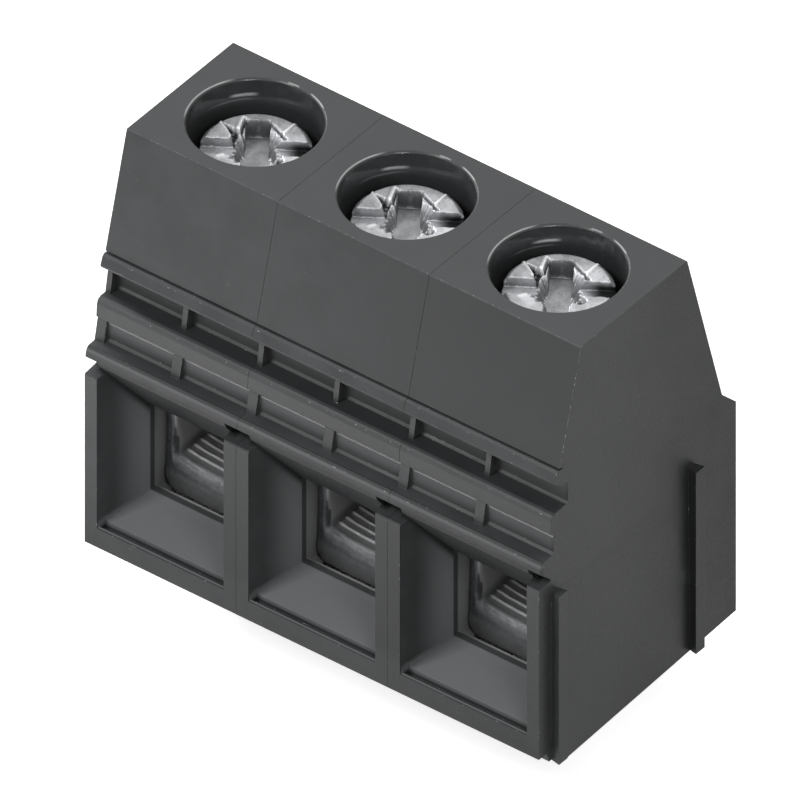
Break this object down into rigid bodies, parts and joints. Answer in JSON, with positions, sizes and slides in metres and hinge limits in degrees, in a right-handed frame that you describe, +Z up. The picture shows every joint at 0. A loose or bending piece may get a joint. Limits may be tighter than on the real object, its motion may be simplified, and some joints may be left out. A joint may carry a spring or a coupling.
{
  "type": "pcb screw terminal",
  "caption": "Board-mounted screw terminal row with funnel wire entries at the front, rising clamping yokes and screws reached from the top.",
  "frame": {"origin": "on the face that sits on the board, in the middle between the two pins of the middle pole, under its screw", "axes": "+X along the row, -Y towards the wire entries, +Z up along the screws"},
  "size_m": [0.031, 0.0171, 0.0304],
  "materials": {
    "housing_plastic": "matt moulded",
    "screw_steel": "zinc plated",
    "yoke_steel": "zinc plated",
    "bar_copper": "tin plated"
  },
  "bodies": {
    "block": {"housing_1": "housing_plastic", "housing_2": "housing_plastic", "housing_3": "housing_plastic", "current_bar_1": "bar_copper", "current_bar_2": "bar_copper", "current_bar_3": "bar_copper"},
    "screw_1": {"clamp_screw_1": "screw_steel"},
    "yoke_1": {"clamp_yoke_1": "yoke_steel"},
    "screw_2": {"clamp_screw_2": "screw_steel"},
    "yoke_2": {"clamp_yoke_2": "yoke_steel"},
    "screw_3": {"clamp_screw_3": "screw_steel"},
    "yoke_3": {"clamp_yoke_3": "yoke_steel"}
  },
  "joints": [
    {"name": "screw_turn_1", "type": "hinge", "parent": "block", "child": "screw_1", "pos_m": [-0.01016, 0, 0.0249], "axis": [0, 0, -1], "range_deg": [0, 2341]},
    {"name": "yoke_lift_1", "type": "slide", "parent": "block", "child": "yoke_1", "axis": [0, 0, 1], "range_m": [0, 0.00455]},
    {"name": "screw_turn_2", "type": "hinge", "parent": "block", "child": "screw_2", "pos_m": [0, 0, 0.0249], "axis": [0, 0, -1], "range_deg": [0, 2341]},
    {"name": "yoke_lift_2", "type": "slide", "parent": "block", "child": "yoke_2", "axis": [0, 0, 1], "range_m": [0, 0.00455]},
    {"name": "screw_turn_3", "type": "hinge", "parent": "block", "child": "screw_3", "pos_m": [0.01016, 0, 0.0249], "axis": [0, 0, -1], "range_deg": [0, 2341]},
    {"name": "yoke_lift_3", "type": "slide", "parent": "block", "child": "yoke_3", "axis": [0, 0, 1], "range_m": [0, 0.00455]}
  ],
  "couplings": [
    {"joint": "screw_turn_1", "follows": "yoke_lift_1", "rad_per_m": 8976},
    {"joint": "screw_turn_2", "follows": "yoke_lift_2", "rad_per_m": 8976},
    {"joint": "screw_turn_3", "follows": "yoke_lift_3", "rad_per_m": 8976}
  ]
}
